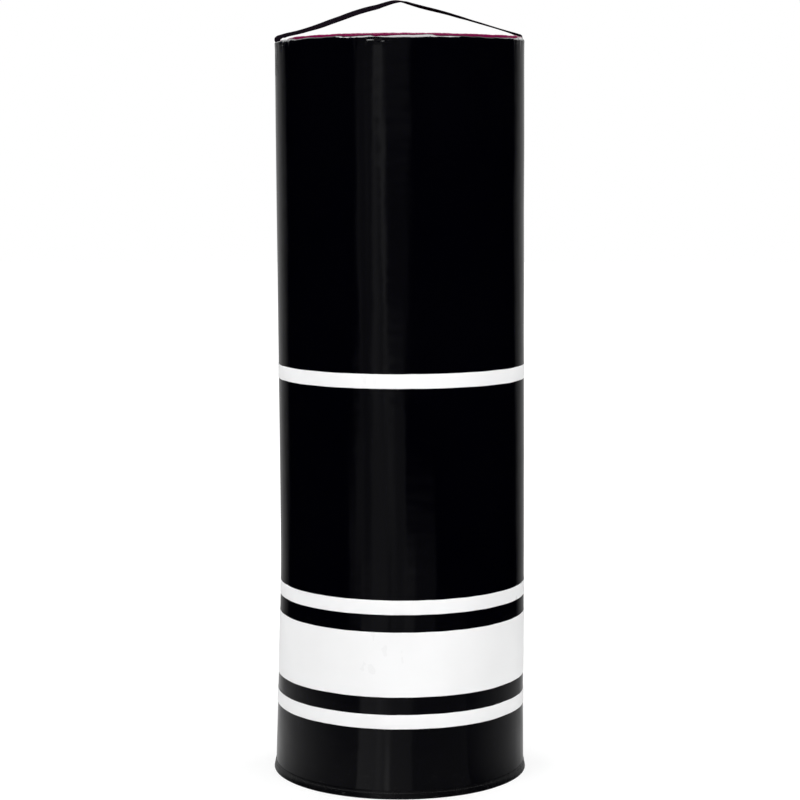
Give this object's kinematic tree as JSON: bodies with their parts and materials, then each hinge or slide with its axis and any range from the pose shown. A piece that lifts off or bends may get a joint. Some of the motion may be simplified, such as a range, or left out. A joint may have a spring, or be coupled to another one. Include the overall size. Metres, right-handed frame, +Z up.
{
  "type": "tackling bag",
  "caption": "Free-standing foam-filled cylinder in a glossy cover with a tented webbing carry strap, a bound top seam, a flared base welt and a zip up the back.",
  "frame": {"origin": "centre of the base, on the floor", "axes": "+Z up along the bag's axis; the plain front faces -Y, the zip is at +Y, and +X is to the right when seen from the front"},
  "size_m": [0.4744, 0.4744, 1.4295],
  "materials": {
    "cover_pvc": "gloss",
    "crimson_pvc": "satin",
    "base_pvc": "satin",
    "wear_rubber": "matte",
    "strap_webbing": "matte",
    "inner_webbing": "matte",
    "thread": "matte",
    "zip_tape": "matte",
    "zip_teeth": "satin",
    "zip_metal": "satin",
    "white_vinyl": "satin",
    "liner_film": "satin",
    "roll_foam": "matte",
    "rebond_foam": "matte"
  },
  "bodies": {
    "bag": {"cover_side_panel": "cover_pvc", "back_seam_strip": "cover_pvc", "zip_end_patch": "cover_pvc", "top_panel": "crimson_pvc", "top_binding_front": "crimson_pvc", "top_binding_back": "crimson_pvc", "top_seam_tape_front": "inner_webbing", "top_seam_tape_back": "inner_webbing", "base_welt": "base_pvc", "base_panel": "base_pvc", "base_wear_disc": "wear_rubber", "handle_tail_left": "strap_webbing", "handle_tail_right": "strap_webbing", "handle_patch_left": "base_pvc", "handle_patch_right": "base_pvc", "handle_stitching_left": "thread", "handle_stitching_right": "thread", "zip_tape_left": "zip_tape", "zip_tape_right": "zip_tape", "zip_teeth_left": "zip_teeth", "zip_teeth_right": "zip_teeth", "zip_top_stop_left": "zip_metal", "zip_top_stop_right": "zip_metal", "zip_bottom_stop": "zip_metal", "hoop_low": "white_vinyl", "hoop_wide": "white_vinyl", "hoop_high": "white_vinyl", "hoop_chest": "white_vinyl", "inner_liner": "liner_film", "foam_roll": "roll_foam", "foam_core": "rebond_foam", "foam_base_pad": "rebond_foam", "foam_top_pad": "rebond_foam", "roll_band_lower": "inner_webbing", "roll_band_middle": "inner_webbing", "roll_band_upper": "inner_webbing"},
    "strap_left_run": {"handle_strap_left": "strap_webbing"},
    "strap_right_run": {"handle_strap_right": "strap_webbing"},
    "strap_crown": {"handle_crown": "strap_webbing"},
    "slider": {"zip_slider": "zip_metal"},
    "pull_tab": {"zip_pull_tab": "zip_metal"}
  },
  "joints": [
    {"name": "strap_fold", "type": "hinge", "parent": "bag", "child": "strap_left_run", "pos_m": [-0.2195, -0.04666, 1.3626], "axis": [-0.2079, 0.9781, 0], "range_deg": [0, 15.9], "stiffness_Nm_per_rad": 0.05, "springref_deg": -17.19},
    {"name": "strap_right_fold", "type": "hinge", "parent": "bag", "child": "strap_right_run", "pos_m": [0.2195, 0.04666, 1.3626], "axis": [0.2079, -0.9781, 0], "range_deg": [0, 15.9], "stiffness_Nm_per_rad": 0.05, "springref_deg": -17.19},
    {"name": "strap_crown_drop", "type": "slide", "parent": "bag", "child": "strap_crown", "axis": [0, 0, -1], "range_m": [0, 0.0576]},
    {"name": "zip_open", "type": "slide", "parent": "bag", "child": "slider", "axis": [0, 0, -1], "range_m": [0, 0.596]},
    {"name": "pull_tab_swing", "type": "hinge", "parent": "slider", "child": "pull_tab", "pos_m": [0, 0.23233, 1.3056], "axis": [1, 0, 0], "range_deg": [0, 170]}
  ],
  "couplings": [
    {"joint": "strap_right_fold", "follows": "strap_fold", "ratio": 1},
    {"joint": "strap_crown_drop", "follows": "strap_fold", "m_per_rad": 0.2072}
  ]
}
